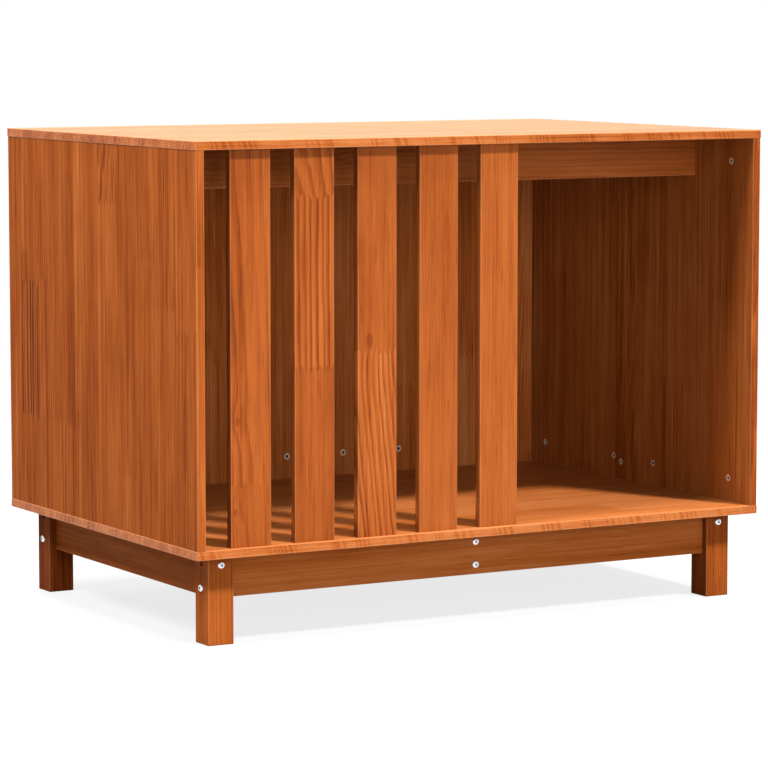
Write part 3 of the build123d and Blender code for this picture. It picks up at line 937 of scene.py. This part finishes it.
class FittingSizes(bpy.types.PropertyGroup):
    """Bolts, cam locks and screws"""

    steel_colour: colour("Steel", "Plated steel of the bolts and screws", 0.80, 0.81, 0.83)
    zinc_colour: colour("Zinc", "Die-cast cam locks", 1.0, 0.70, 0.50)
    # The recess and cam well colours are painted shade: darker colours in the hollows where shade falls
    recess_shade_colour: colour("Recess", "Inside a driver's recess", 0.32, 0.35, 0.42)
    well_shade_colour: colour("Cam well shade", "Inside the middle of a cam lock", 0.03, 0.018, 0.012)
    bolt_head: length("Bolt head", "Diameter of a domed bolt head", 0.004, 0.03, 0.0105)
    bolt_dome: length("Bolt head height", "How far a bolt head stands out", 0.001, 0.01, 0.0033)
    bolt_socket: length("Hexagon socket", "Size across a bolt socket's flats", 0.001, 0.01, 0.004)
    bolt_depth: length("Socket depth", "Depth of a bolt's socket", 0.0005, 0.01, 0.0018)
    bolt_shank: length("Bolt shank", "Diameter of a bolt's shank", 0.002, 0.02, 0.006)
    cam_diameter: length("Cam lock", "Diameter of a cam lock", 0.005, 0.03, 0.010)
    cam_recess: length("Cam recess", "Length of the cross in a cam lock", 0.001, 0.02, 0.0034)
    cam_slot: length("Cam slot", "Width of the cross in a cam lock", 0.0002, 0.01, 0.0010)
    cam_depth: length("Cam depth", "Depth of the cross in a cam lock", 0.0002, 0.01, 0.0018)
    screw_head: length("Screw head", "Diameter of a screw head", 0.003, 0.02, 0.008)
    screw_dome: length("Screw head height", "How far a screw head stands out", 0.0005, 0.01, 0.0026)
    screw_shank: length("Screw shank", "Diameter of a screw's shank", 0.001, 0.02, 0.004)
    screw_recess: length("Screw recess", "Length of the cross in a screw", 0.001, 0.02, 0.0046)
    screw_slot: length("Screw slot", "Width of the cross in a screw", 0.0002, 0.01, 0.0012)
    screw_depth: length("Screw depth", "Depth of the cross in a screw", 0.0002, 0.01, 0.0016)


class StudioLight(bpy.types.PropertyGroup):
    """Floor, lamps and camera"""

    floor_colour: colour("Floor", "Colour of the floor", 0.82, 0.82, 0.82)
    floor_bounce: share("Floor bounce", "Share of the light that the floor throws back up", 0.14)
    surroundings: strength("Surroundings", "Light from all round", 2, 0.20)
    key_strength: lamp("key", "a surface that faces it", 1.13)
    key_elevation: angle("Key height", "Angle of the key lamp above the floor", 57)
    key_side: angle("Key side", "Angle of the key lamp to the right of the front", 24.5)
    key_size: angle("Key size", "Angle that the key lamp fills, seen from the house", 6)
    left_strength: lamp("left", "a surface that faces it", 0.79)
    front_strength: lamp("front", "a surface that faces it", 0.25)
    back_strength: lamp("back", "a surface that faces it", 0.60)
    top_strength: lamp("top", "a surface that faces it", 0.85)
    inside_strength: lamp("inside", "the back panel", 0.16)
    camera_lens: FloatProperty(
        name="Lens", description="Focal length of the camera, in millimetres",
        subtype="DISTANCE_CAMERA", min=10, max=500, default=165.34,
    )
    camera_place: FloatVectorProperty(
        name="Camera", description="Where the camera stands",
        subtype="TRANSLATION", unit="LENGTH", size=3, default=(-2.51264, -4.39004, 0.83880),
    )
    camera_turn: angle("Camera turn", "Angle of the view to the right of straight back", 29.826)
    camera_tilt: angle("Camera tilt", "Angle of the view below the horizon", 6.048)


# The pieces


class DOGHOUSE_OT_boards(bpy.types.Operator):
    """Finish the top and bottom boards in stained pine"""

    bl_idname = "dog_house.boards"
    bl_label = "Top and bottom boards"

    def execute(self, context):
        shine = context.scene.dog_house_pine.board_shine
        for name, seed in zip(BOARDS, (11.3, 12.9)):
            piece = Piece((), seed=seed)
            wood = pine_material(name, BOARD_LIE, piece, shine, staves=1.1, marks=True, polish=0.10)
            finish_node(name, wood)
        return {"FINISHED"}


class DOGHOUSE_OT_panels(bpy.types.Operator):
    """Finish the side and back panels in stained pine"""

    bl_idname = "dog_house.panels"
    bl_label = "Side and back panels"

    def execute(self, context):
        shine = context.scene.dog_house_pine.panel_shine
        for name, lie, seed, patches in (
            (SIDE_PANELS[0], SIDE_LIE, 21.7, LEFT_PATCHES),
            (SIDE_PANELS[1], SIDE_LIE, 22.1, RIGHT_PATCHES),
            (BACK_PANEL, UPRIGHT_LIE, 23.9, ()),
        ):
            piece = Piece((), seed=seed, patches=patches)
            finish_node(name, pine_material(name, lie, piece, shine, staves=1.0))
        return {"FINISHED"}


class DOGHOUSE_OT_slats(bpy.types.Operator):
    """Finish the slats of the front in stained pine"""

    bl_idname = "dog_house.slats"
    bl_label = "Slats"

    def execute(self, context):
        shine = context.scene.dog_house_pine.slat_shine
        for name, piece in SLAT_PIECES.items():
            finish_node(name, pine_material(name, UPRIGHT_LIE, piece, shine, grain=SOLID_GRAIN))
        return {"FINISHED"}


class DOGHOUSE_OT_rail(bpy.types.Operator):
    """Finish the rail under the top board in stained pine"""

    bl_idname = "dog_house.rail"
    bl_label = "Ceiling rail"

    def execute(self, context):
        shine = context.scene.dog_house_pine.slat_shine
        finish_node(RAIL, pine_material(RAIL, RAIL_LIE, RAIL_PIECE, shine, grain=SOLID_GRAIN))
        return {"FINISHED"}


class DOGHOUSE_OT_leg_frame(bpy.types.Operator):
    """Finish the legs, the aprons and the centre bearer in stained pine"""

    bl_idname = "dog_house.leg_frame"
    bl_label = "Leg frame"

    def execute(self, context):
        shine = context.scene.dog_house_pine.panel_shine
        for lie, names, piece in (
            (UPRIGHT_LIE, LEGS, LEG_PIECE),
            (RAIL_LIE, LONG_APRONS, APRON_PIECE),
            (SHORT_LIE, SHORT_APRONS, APRON_PIECE),
        ):
            for place, name in enumerate(names):
                own = piece._replace(seed=piece.seed + 1.7 * place)
                finish_node(name, pine_material(name, lie, own, shine, grain=SOLID_GRAIN))
        return {"FINISHED"}


class DOGHOUSE_OT_dowels(bpy.types.Operator):
    """Finish the hidden dowels in beech"""

    bl_idname = "dog_house.dowels"
    bl_label = "Dowels"

    def execute(self, context):
        material = dowel_material()
        for name in DOWELS:
            finish_node(name, material)
        return {"FINISHED"}


class DOGHOUSE_OT_bolts(bpy.types.Operator):
    """Make the domed bolts of the leg frame, with their hexagon sockets"""

    bl_idname = "dog_house.bolts"
    bl_label = "Domed bolts"

    def execute(self, context):
        sizes = context.scene.dog_house_fittings
        given = {
            "Head diameter": sizes.bolt_head,
            "Head height": sizes.bolt_dome,
            "Socket size": sizes.bolt_socket,
            "Socket depth": sizes.bolt_depth,
            "Shank diameter": sizes.bolt_shank,
            "Shank length": length_of(DOMED_BOLTS[0]) - sizes.bolt_dome,
        }
        head, height, shank, lower = "Head diameter", "Head height", "Shank diameter", "Shank length"
        socket, depth = "Socket size", "Socket depth"
        dome = (
            (0.49, 0), (0.5, 0.04), (0.5, 0.30), (0.488, 0.48),
            (0.46, 0.66), (0.41, 0.83), (0.34, 0.95), (0.27, 1.0),
        )
        rings = [
            Ring({}, {lower: -1}),
            Ring({shank: 0.5, "": -0.8 * MM}, {lower: -1}),
            Ring({shank: 0.5}, {lower: -1, "": 0.8 * MM}),
            Ring({shank: 0.5}, {}),
            *(Ring({head: wide}, {height: high}) for wide, high in dome),
            Ring({socket: 0.54}, {height: 1}, True),
            Ring({socket: 0.5}, {height: 1, "": -0.15 * MM}, True),
            Ring({socket: 0.5}, {height: 1, depth: -1}, True),
            Ring({}, {height: 1, depth: -1, "": -0.5 * MM}),
        ]
        tree = turned_tree("Domed bolt", given, rings, 48, 14)
        steel = metal_material("Plated steel", sizes.steel_colour, sizes.recess_shade_colour, 0.22)
        values = {**given, "Material": steel, "Seed": 3}
        for name in DOMED_BOLTS:
            seats = seats_of(name, np.argmax, 1, sizes.bolt_dome)
            stand_for(set_on_seats("domed_" + name, tree, seats, values), name)
        return {"FINISHED"}


class DOGHOUSE_OT_cam_locks(bpy.types.Operator):
    """Make the cam locks let into the panels, with their cross recesses"""

    bl_idname = "dog_house.cam_locks"
    bl_label = "Cam locks"

    def execute(self, context):
        sizes = context.scene.dog_house_fittings
        given = {
            "Diameter": sizes.cam_diameter,
            "Length": length_of(CAM_LOCKS[0], min),
            "Recess length": sizes.cam_recess,
            "Recess width": sizes.cam_slot,
            "Recess depth": sizes.cam_depth,
        }
        wide, deep, recess, depth = "Diameter", "Length", "Recess length", "Recess depth"
        rings = [
            Ring({}, {deep: -1}),
            Ring({wide: 0.47}, {deep: -1}),
            Ring({wide: 0.5}, {deep: -1, "": 0.3 * MM}),
            Ring({wide: 0.5}, {"": -0.25 * MM}),
            Ring({wide: 0.475}, {}),
            Ring({wide: 0.26}, {}),
            Ring({wide: 0.24}, {"": -0.15 * MM}),
            Ring({wide: 0.22}, {depth: -0.45}),
            Ring({recess: 0.5}, {depth: -0.5}, True),
            Ring({recess: 0.42}, {depth: -1}, True),
            Ring({}, {depth: -1, "": -0.2 * MM}),
        ]
        tree = turned_tree("Cam lock", given, rings, 64, 7)
        zinc = metal_material("Cast zinc", sizes.zinc_colour, sizes.well_shade_colour, 0.5, 0.15)
        values = {**given, "Material": zinc, "Seed": 5}
        for name in CAM_LOCKS:
            seats = seats_of(name, np.argmin, -1)
            piece = set_on_seats(name.replace("locks", "lock_bodies"), tree, seats, values)
            stand_for(piece, name)
        return {"FINISHED"}


class DOGHOUSE_OT_screws(bpy.types.Operator):
    """Make the screws that hold the bottom board on the leg frame"""

    bl_idname = "dog_house.screws"
    bl_label = "Frame screws"

    def execute(self, context):
        sizes = context.scene.dog_house_fittings
        given = {
            "Head diameter": sizes.screw_head,
            "Head height": sizes.screw_dome,
            "Shank diameter": sizes.screw_shank,
            "Shank length": length_of(SCREWS) - sizes.screw_dome,
            "Recess length": sizes.screw_recess,
            "Recess width": sizes.screw_slot,
            "Recess depth": sizes.screw_depth,
        }
        head, height, shank, lower = "Head diameter", "Head height", "Shank diameter", "Shank length"
        recess, depth = "Recess length", "Recess depth"
        threads, thread_foot, thread_reach = 16, 0.92, 0.6
        rings = [Ring({}, {lower: -1}), Ring({shank: 0.12}, {lower: -1})]
        rings.append(Ring({shank: 0.36}, {lower: -thread_foot}))
        for turn in range(threads):
            level = thread_reach * turn / threads - thread_foot
            rings += [Ring({shank: 0.5}, {lower: level + 0.006}), Ring({shank: 0.38}, {lower: level + 0.02})]
        rings += [
            Ring({shank: 0.40}, {lower: -0.3}),
            Ring({shank: 0.45}, {"": -1.2 * MM}),
            Ring({head: 0.46}, {}),
            Ring({head: 0.5}, {height: 0.2}),
            Ring({head: 0.5}, {height: 0.75}),
            Ring({head: 0.46}, {height: 1}),
            Ring({recess: 0.54}, {height: 1}),
            Ring({recess: 0.5}, {height: 1}, True),
            Ring({recess: 0.42}, {height: 1, depth: -1}, True),
            Ring({}, {height: 1, depth: -1, "": -0.3 * MM}),
        ]
        tree = turned_tree("Frame screw", given, rings, 32, len(rings) - 3)
        steel = metal_material("Plated screws", sizes.steel_colour, sizes.recess_shade_colour, 0.3)
        values = {**given, "Material": steel, "Seed": 7}
        # The screws lie above the floor and face down, so they face the middle of the frame
        seats = seats_of(SCREWS, np.argmax, -1, sizes.screw_dome)
        stand_for(set_on_seats("board_screws", tree, seats, values), SCREWS)
        return {"FINISHED"}


class DOGHOUSE_OT_hidden_steel(bpy.types.Operator):
    """Finish the cam bolts and the barrel nuts in plated steel"""

    bl_idname = "dog_house.hidden_steel"
    bl_label = "Cam bolts and barrel nuts"

    def execute(self, context):
        sizes = context.scene.dog_house_fittings
        material = metal_material("Plated pins", sizes.steel_colour, sizes.recess_shade_colour, 0.34)
        for name in CAM_BOLTS + BARREL_NUTS:
            finish_node(name, material)
        return {"FINISHED"}


# The stage, in metres: the floor's reach, where it is clear and where white, the paleness
# of its shade, and each soft lamp with its place, target, size and setting

FLOOR_REACH = 40.0
CLEAR_FLOOR = 1.1
WHITE_FLOOR = 2.6
SHADE_LIFT = 0.80
HOUSE_MIDDLE = (0, 0, 0.35)
SOFT_LAMPS = (
    ("Left lamp", (-2.6, -0.5, 3.7), HOUSE_MIDDLE, 1.2, "left_strength"),
    ("Front lamp", (-0.9, -4.4, 1.1), HOUSE_MIDDLE, 2.2, "front_strength"),
    ("Back lamp", (0.9, 3.6, 2.6), HOUSE_MIDDLE, 2.0, "back_strength"),
    ("Inside lamp", (-0.18, -0.25, 0.36), (-0.18, 0.29, 0.26), 0.42, "inside_strength"),
)
TOP_LAMP_SIZE = math.radians(25)


def seen_or_mirrored(sheet):
    """One where a ray comes from the eye, from a reflection or through glass, and else none."""
    path = sheet.outputs("ShaderNodeLightPath")
    return sheet.most(path["Is Camera Ray"], path["Is Glossy Ray"], path["Is Transmission Ray"])


def floor_material(colour, bounce):
    """A pale floor that keeps soft shadows near the house and runs into white far from it."""
    material, sheet, shader = fresh_material("Studio floor")
    place = sheet.value("ShaderNodeTexCoord", out="Object")
    grain = sheet.noise(place, 9.0, 3.0) * 0.05
    seen = seen_or_mirrored(sheet)
    plain = sheet.mixed(seen, (bounce, bounce, bounce, 1.0), (*colour, 1.0))
    sheet.feed(shader, {
        "Base Color": sheet.mixed(grain, plain, (0.7, 0.7, 0.7, 1.0)),
        "Roughness": 0.9,
        "Specular IOR Level": 0.0,
    })
    x, y, _ = place.parts()
    far = sheet.distance(x, y).ramp(CLEAR_FLOOR, WHITE_FLOOR, SHADE_LIFT, 1.0)
    white = sheet.value("ShaderNodeEmission", {"Color": WHITE, "Strength": 1.0})
    values = {0: far * seen, 1: Value(sheet, shader.outputs["BSDF"]), 2: white}
    both = sheet.value("ShaderNodeMixShader", values)
    sheet.feed(sheet.tree.get_output_node("ALL"), {"Surface": both})
    return material


def light_surroundings(scene, strength):
    """A white background to the eye and to reflections, and an even light on the house."""
    world = bpy.data.worlds.new("Studio")
    world.use_nodes = True
    world.node_tree.nodes.clear()
    scene.world = world
    sheet = Sheet(world.node_tree)
    level = sheet.mixed(seen_or_mirrored(sheet), strength, 1.0, "FLOAT")
    light = sheet.value("ShaderNodeBackground", {"Color": WHITE, "Strength": level})
    sheet.add("ShaderNodeOutputWorld", {"Surface": light})


def aimed_lamp(name, kind, place, target, energy, mirrored):
    """A lamp that shines from its place at a target, and may be seen in reflections."""
    light = bpy.data.lights.new(name, kind)
    light.energy = energy
    thing = bpy.data.objects.new(name, light)
    thing.location = place
    thing.visible_glossy = mirrored
    thing.rotation_euler = (Vector(target) - thing.location).to_track_quat("-Z", "Y").to_euler()
    bpy.context.collection.objects.link(thing)
    return thing


def soft_lamp(name, place, target, size, strength):
    """A square lamp that gives a surface at its target the light given by strength."""
    distance = (Vector(target) - Vector(place)).length
    thing = aimed_lamp(name, "AREA", place, target, strength * (math.pi * distance) ** 2, False)
    thing.data.shape = "SQUARE"
    thing.data.size = size
    thing.visible_camera = False


def far_lamp(name, side, angle, strength, mirrored):
    """A lamp so far away that its light is parallel, shining from a side."""
    thing = aimed_lamp(name, "SUN", 5 * side, (0, 0, 0), strength * math.pi, mirrored)
    thing.data.angle = angle


class DOGHOUSE_OT_studio(bpy.types.Operator):
    """Set up the floor, the lamps and the camera"""

    bl_idname = "dog_house.studio"
    bl_label = "Studio"

    def execute(self, context):
        scene = context.scene
        studio = scene.dog_house_studio
        scene.view_settings.view_transform = "Standard"
        light_surroundings(scene, studio.surroundings)

        mesh = bpy.data.meshes.new("studio_floor")
        corners = [(FLOOR_REACH * x, FLOOR_REACH * y, 0) for x, y in ((-1, -1), (1, -1), (1, 1), (-1, 1))]
        mesh.from_pydata(corners, [], [(0, 1, 2, 3)])
        mesh.materials.append(floor_material(studio.floor_colour, studio.floor_bounce))
        floor = bpy.data.objects.new("studio_floor", mesh)
        context.collection.objects.link(floor)

        up = Vector((0, 0, 1))
        level = Vector((math.sin(studio.key_side), -math.cos(studio.key_side), 0))
        key = level * math.cos(studio.key_elevation) + up * math.sin(studio.key_elevation)
        far_lamp("Key lamp", key, studio.key_size, studio.key_strength, True)
        far_lamp("Top lamp", up, TOP_LAMP_SIZE, studio.top_strength, False)
        for name, place, target, size, setting in SOFT_LAMPS:
            soft_lamp(name, place, target, size, getattr(studio, setting))

        camera = bpy.data.cameras.new("Camera")
        camera.lens = studio.camera_lens
        camera.sensor_width = 36
        camera.clip_start, camera.clip_end = 0.05, 100
        eye = bpy.data.objects.new("Camera", camera)
        eye.location = studio.camera_place
        eye.rotation_euler = Euler((math.pi / 2 - studio.camera_tilt, 0, -studio.camera_turn))
        context.collection.objects.link(eye)
        scene.camera = eye
        return {"FINISHED"}


OPERATORS = (
    DOGHOUSE_OT_studio,
    DOGHOUSE_OT_boards,
    DOGHOUSE_OT_panels,
    DOGHOUSE_OT_slats,
    DOGHOUSE_OT_rail,
    DOGHOUSE_OT_leg_frame,
    DOGHOUSE_OT_dowels,
    DOGHOUSE_OT_bolts,
    DOGHOUSE_OT_cam_locks,
    DOGHOUSE_OT_screws,
    DOGHOUSE_OT_hidden_steel,
)
SETTINGS = (
    ("dog_house_pine", PineFinish),
    ("dog_house_fittings", FittingSizes),
    ("dog_house_studio", StudioLight),
)


class DOGHOUSE_PT_sidebar(bpy.types.Panel):
    """Lists the pieces of the dog house and what may be changed on them"""

    bl_idname = "DOGHOUSE_PT_sidebar"
    bl_label = "Dog house"
    bl_space_type = "VIEW_3D"
    bl_region_type = "UI"
    bl_category = "Dog house"

    def draw(self, context):
        layout = self.layout
        for operator in OPERATORS:
            layout.operator(operator.bl_idname)
        for setting, group in SETTINGS:
            box = layout.box()
            box.label(text=group.__doc__)
            for prop in group.__annotations__:
                box.prop(getattr(context.scene, setting), prop)


CLASSES = (PineFinish, FittingSizes, StudioLight, *OPERATORS, DOGHOUSE_PT_sidebar)


def register():
    for one in CLASSES:
        bpy.utils.register_class(one)
    for setting, group in SETTINGS:
        setattr(bpy.types.Scene, setting, PointerProperty(type=group))


def unregister():
    for setting, _ in SETTINGS:
        delattr(bpy.types.Scene, setting)
    for one in reversed(CLASSES):
        bpy.utils.unregister_class(one)


def main():
    register()
    for operator in OPERATORS:
        group, name = operator.bl_idname.split(".")
        getattr(getattr(bpy.ops, group), name)()


if __name__ == "__main__":
    main()
